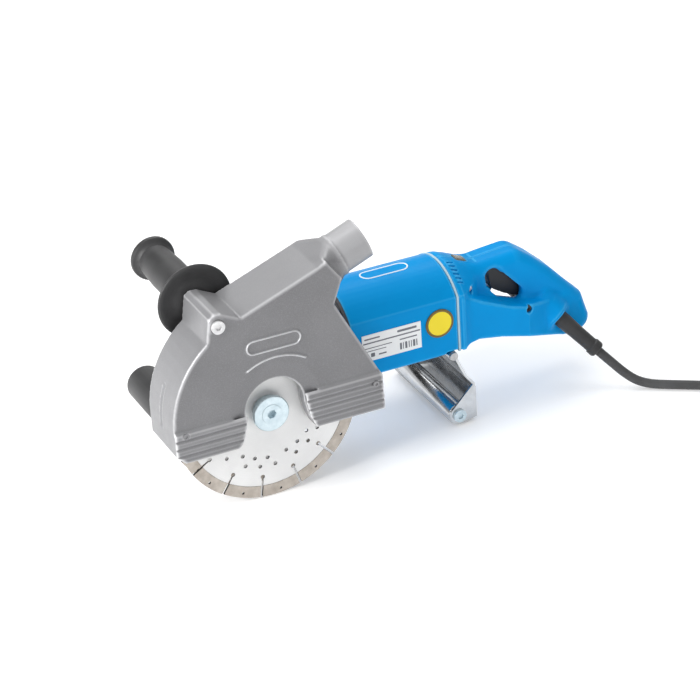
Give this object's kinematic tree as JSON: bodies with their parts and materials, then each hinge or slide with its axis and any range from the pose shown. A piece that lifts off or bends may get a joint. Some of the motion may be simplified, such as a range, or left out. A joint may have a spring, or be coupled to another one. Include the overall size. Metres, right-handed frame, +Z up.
{
  "type": "wall chaser",
  "caption": "Twin-blade wall chaser with a cast guard, side grip, D-handle, guide rollers, dust nozzle and corded motor, for cutting parallel slots in masonry.",
  "frame": {"origin": "centre of the box round the tool without its cord, on the surface it stands on", "axes": "+X from the blades to the handle, +Y from the blade side to the side grip, +Z up"},
  "size_m": [0.7334, 0.2535, 0.2503],
  "materials": {
    "cast_aluminium": "shot-blasted die casting, semi-matt",
    "blue_plastic": "moulded glass-filled nylon, semi-gloss",
    "black_plastic": "moulded, matt",
    "black_rubber": "soft matt rubber",
    "zinc_steel": "zinc-plated turned steel",
    "chrome": "bright chrome plate",
    "ground_steel": "ground steel",
    "blade_steel": "fine-ground blade steel",
    "diamond_segment": "sintered, rough",
    "copper_winding": "enamelled copper wire",
    "commutator_copper": "turned copper bars",
    "carbon": "pressed carbon",
    "seam_grey": "pale moulded ring",
    "label_white": "printed white label",
    "badge_yellow": "printed yellow disc",
    "lens_smoke": "smoked lens",
    "cord_rubber": "matt cable sheath",
    "pin_brass": "bare brass"
  },
  "bodies": {
    "tool": {"hood_body": "cast_aluminium", "hood_cover": "cast_aluminium", "cover_screws": "zinc_steel", "dust_nozzle": "cast_aluminium", "hood_screws": "zinc_steel", "spindle_bearing": "ground_steel", "small_bearings": "ground_steel", "intermediate_bearing": "ground_steel", "gear_case": "cast_aluminium", "gear_cover": "cast_aluminium", "gear_cover_screws": "zinc_steel", "front_bearing": "ground_steel", "rear_bearing": "ground_steel", "stator_core": "ground_steel", "stator_winding": "copper_winding", "bearing_bridge": "black_plastic", "brush_holders": "commutator_copper", "carbon_brushes": "carbon", "brush_springs": "ground_steel", "motor_housing": "blue_plastic", "through_bolts": "zinc_steel", "seam_gasket": "seam_grey", "name_plate": "label_white", "badge": "badge_yellow", "handle_shell_left": "blue_plastic", "handle_shell_right": "blue_plastic", "handle_screws": "zinc_steel", "switch_body": "black_plastic", "overload_lens": "lens_smoke", "strain_relief": "black_rubber", "cord": "cord_rubber", "cord_coil": "cord_rubber", "plug_body": "black_rubber", "plug_pins": "pin_brass", "bracket_pivot": "zinc_steel", "front_axle": "zinc_steel", "side_grip": "black_rubber", "grip_guard": "black_rubber"},
    "blades": {"blade_core_near": "blade_steel", "blade_rim_near": "diamond_segment", "blade_core_far": "blade_steel", "blade_rim_far": "diamond_segment", "outer_flange": "zinc_steel", "spacer_sleeve": "zinc_steel", "inner_flange": "zinc_steel", "clamping_bolt": "zinc_steel", "spindle": "ground_steel", "spindle_gear": "ground_steel"},
    "intermediate": {"intermediate_shaft": "ground_steel", "bevel_gear": "ground_steel"},
    "armature": {"armature_shaft": "ground_steel", "armature_core": "ground_steel", "commutator": "commutator_copper", "cooling_fan": "black_plastic"},
    "trigger": {"trigger": "black_plastic"},
    "lock_off_button": {"lock_off_button": "black_plastic"},
    "roller_bracket": {"roller_bracket": "chrome", "roller_axle": "zinc_steel"},
    "rear_roller": {"rear_roller": "chrome"},
    "front_roller": {"front_roller": "black_rubber"}
  },
  "joints": [
    {"name": "spindle_spin", "type": "hinge", "parent": "tool", "child": "blades", "pos_m": [-0.1333, -0.0629, 0.09], "axis": [0, 1, 0], "continuous": true},
    {"name": "intermediate_spin", "type": "hinge", "parent": "tool", "child": "intermediate", "pos_m": [-0.1333, -0.0029, 0.114], "axis": [0, 1, 0], "continuous": true},
    {"name": "armature_spin", "type": "hinge", "parent": "tool", "child": "armature", "pos_m": [0.0167, 0.0071, 0.114], "axis": [1, 0, 0], "continuous": true},
    {"name": "trigger_press", "type": "hinge", "parent": "tool", "child": "trigger", "pos_m": [0.1367, 0.0071, 0.141], "axis": [0, -1, 0], "range_deg": [0, 6], "stiffness_Nm_per_rad": 1, "springref_deg": -8.59},
    {"name": "lock_off_press", "type": "slide", "parent": "tool", "child": "lock_off_button", "axis": [0, -1, 0], "range_m": [0, 0.0025], "stiffness_N_per_m": 800, "springref_m": -0.002},
    {"name": "bracket_swing", "type": "hinge", "parent": "tool", "child": "roller_bracket", "pos_m": [0.0697, 0.0071, 0.0755], "axis": [0, -1, 0], "range_deg": [0, 40]},
    {"name": "rear_roller_spin", "type": "hinge", "parent": "roller_bracket", "child": "rear_roller", "pos_m": [0.0732, 0.0251, 0.0105], "axis": [0, 1, 0], "continuous": true},
    {"name": "front_roller_spin", "type": "hinge", "parent": "tool", "child": "front_roller", "pos_m": [-0.2093, 0.0151, 0.0875], "axis": [0, 1, 0], "continuous": true}
  ],
  "couplings": [
    {"joint": "intermediate_spin", "follows": "spindle_spin", "ratio": -1},
    {"joint": "armature_spin", "follows": "spindle_spin", "ratio": 3.2}
  ]
}
